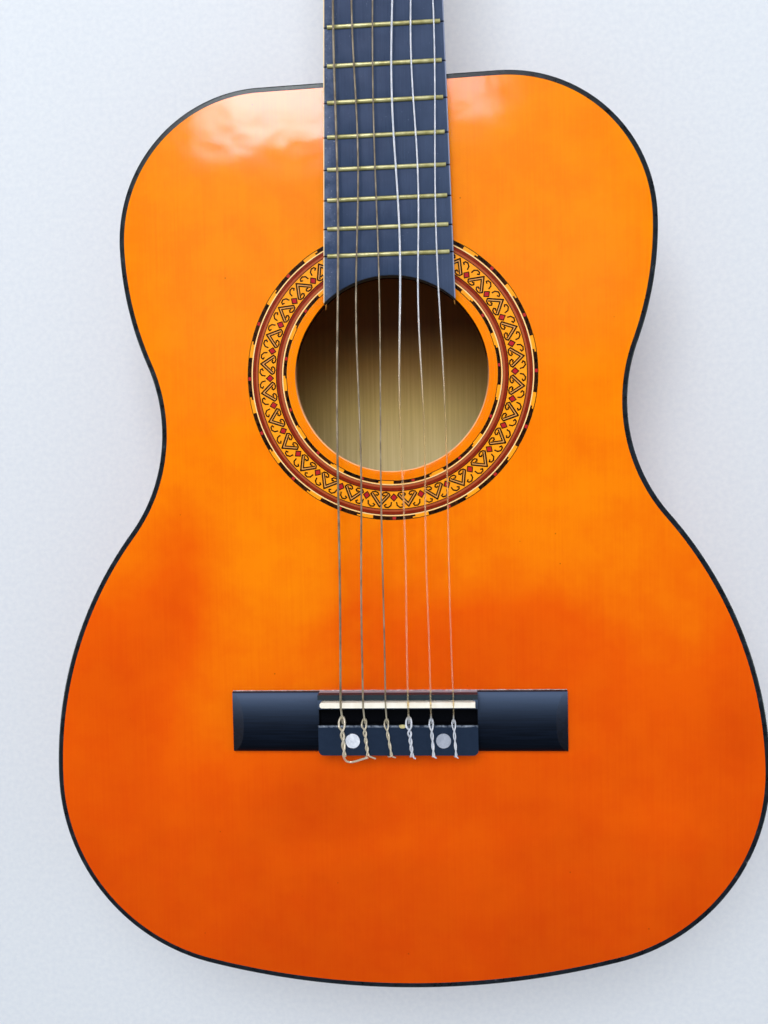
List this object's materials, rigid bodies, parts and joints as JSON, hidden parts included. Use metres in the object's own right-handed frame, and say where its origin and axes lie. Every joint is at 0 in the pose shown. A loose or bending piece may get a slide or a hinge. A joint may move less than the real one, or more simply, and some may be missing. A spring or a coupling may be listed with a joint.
{
  "type": "acoustic guitar",
  "caption": "Worn full-size classical guitar lying on its back: orange top, sound hole with printed ring, slotted head, slack strings tied to a tie-block bridge.",
  "frame": {"origin": "on the back's outer face, straight under the middle of the saddle", "axes": "+Y up the neck along the string line, +X to the treble side, +Z out of the soundboard; the guitar lies on its back"},
  "size_m": [0.3759, 0.9871, 0.1087],
  "materials": {
    "top_wood": "orange lacquer, gloss",
    "body_wood": "orange-brown lacquer, gloss",
    "inner_wood": "bare",
    "black_plastic": "polished, nicked",
    "rosette_print": "printed ring under lacquer",
    "neck_wood": "satin lacquer",
    "board_wood": "black stain, scuffed",
    "bone_plastic": "moulded, worn",
    "fret_brass": "worn",
    "bridge_wood": "black paint, satin",
    "steel": "plain",
    "pearl_plastic": "polished",
    "machine_brass": "plated, dull",
    "roller_plastic": "moulded",
    "button_plastic": "moulded",
    "wound_string": "wound, tarnished",
    "nylon_string": "clear nylon"
  },
  "bodies": {
    "root": {"soundboard": "top_wood", "back_panel": "body_wood", "side_bass": "body_wood", "side_treble": "body_wood", "top_linings": "inner_wood", "back_linings": "inner_wood", "neck_block": "inner_wood", "tail_block": "inner_wood", "top_binding": "black_plastic", "back_binding": "black_plastic", "rosette": "rosette_print", "upper_bar": "inner_wood", "lower_bar": "inner_wood", "fan_struts": "inner_wood", "bridge_plate": "inner_wood", "back_braces": "inner_wood", "neck": "neck_wood", "heel_cap": "black_plastic", "head": "neck_wood", "fingerboard": "board_wood", "nut": "bone_plastic", "frets": "fret_brass", "bridge": "bridge_wood", "saddle": "bone_plastic", "bridge_bolts": "steel", "bridge_dots": "pearl_plastic", "string_1": "nylon_string", "string_2": "nylon_string", "string_3": "nylon_string", "string_4": "wound_string", "string_5": "wound_string", "string_6": "wound_string", "plate_bass": "machine_brass", "plate_treble": "machine_brass", "plate_screws": "machine_brass"},
    "roller_1": {"roller_1": "roller_plastic", "gear_1": "machine_brass"},
    "button_1": {"worm_1": "steel", "button_1": "button_plastic"},
    "roller_2": {"roller_2": "roller_plastic", "gear_2": "machine_brass"},
    "button_2": {"worm_2": "steel", "button_2": "button_plastic"},
    "roller_3": {"roller_3": "roller_plastic", "gear_3": "machine_brass"},
    "button_3": {"worm_3": "steel", "button_3": "button_plastic"},
    "roller_4": {"roller_4": "roller_plastic", "gear_4": "machine_brass"},
    "button_4": {"worm_4": "steel", "button_4": "button_plastic"},
    "roller_5": {"roller_5": "roller_plastic", "gear_5": "machine_brass"},
    "button_5": {"worm_5": "steel", "button_5": "button_plastic"},
    "roller_6": {"roller_6": "roller_plastic", "gear_6": "machine_brass"},
    "button_6": {"worm_6": "steel", "button_6": "button_plastic"}
  },
  "joints": [
    {"name": "button_1_turn", "type": "hinge", "parent": "root", "child": "button_1", "pos_m": [0.0399, 0.68853, 0.07737], "axis": [0, 0.2419, 0.9703], "range_deg": [-720, 720]},
    {"name": "roller_1_turn", "type": "hinge", "parent": "root", "child": "roller_1", "pos_m": [0.01, 0.69746, 0.07514], "axis": [1, 0, 0], "range_deg": [-51.5, 51.5]},
    {"name": "button_2_turn", "type": "hinge", "parent": "root", "child": "button_2", "pos_m": [0.0399, 0.72249, 0.0689], "axis": [0, 0.2419, 0.9703], "range_deg": [-720, 720]},
    {"name": "roller_2_turn", "type": "hinge", "parent": "root", "child": "roller_2", "pos_m": [0.01, 0.73142, 0.06667], "axis": [1, 0, 0], "range_deg": [-51.5, 51.5]},
    {"name": "button_3_turn", "type": "hinge", "parent": "root", "child": "button_3", "pos_m": [0.0399, 0.75645, 0.06043], "axis": [0, 0.2419, 0.9703], "range_deg": [-720, 720]},
    {"name": "roller_3_turn", "type": "hinge", "parent": "root", "child": "roller_3", "pos_m": [0.01, 0.76538, 0.0582], "axis": [1, 0, 0], "range_deg": [-51.5, 51.5]},
    {"name": "button_4_turn", "type": "hinge", "parent": "root", "child": "button_4", "pos_m": [-0.0399, 0.75645, 0.06043], "axis": [0, 0.2419, 0.9703], "range_deg": [-720, 720]},
    {"name": "roller_4_turn", "type": "hinge", "parent": "root", "child": "roller_4", "pos_m": [-0.01, 0.76538, 0.0582], "axis": [1, 0, 0], "range_deg": [-51.5, 51.5]},
    {"name": "button_5_turn", "type": "hinge", "parent": "root", "child": "button_5", "pos_m": [-0.0399, 0.72249, 0.0689], "axis": [0, 0.2419, 0.9703], "range_deg": [-720, 720]},
    {"name": "roller_5_turn", "type": "hinge", "parent": "root", "child": "roller_5", "pos_m": [-0.01, 0.73142, 0.06667], "axis": [1, 0, 0], "range_deg": [-51.5, 51.5]},
    {"name": "button_6_turn", "type": "hinge", "parent": "root", "child": "button_6", "pos_m": [-0.0399, 0.68853, 0.07737], "axis": [0, 0.2419, 0.9703], "range_deg": [-720, 720]},
    {"name": "roller_6_turn", "type": "hinge", "parent": "root", "child": "roller_6", "pos_m": [-0.01, 0.69746, 0.07514], "axis": [1, 0, 0], "range_deg": [-51.5, 51.5]}
  ],
  "couplings": [
    {"joint": "roller_1_turn", "follows": "button_1_turn", "ratio": 0.071429},
    {"joint": "roller_2_turn", "follows": "button_2_turn", "ratio": 0.071429},
    {"joint": "roller_3_turn", "follows": "button_3_turn", "ratio": 0.071429},
    {"joint": "roller_4_turn", "follows": "button_4_turn", "ratio": -0.071429},
    {"joint": "roller_5_turn", "follows": "button_5_turn", "ratio": -0.071429},
    {"joint": "roller_6_turn", "follows": "button_6_turn", "ratio": -0.071429}
  ]
}
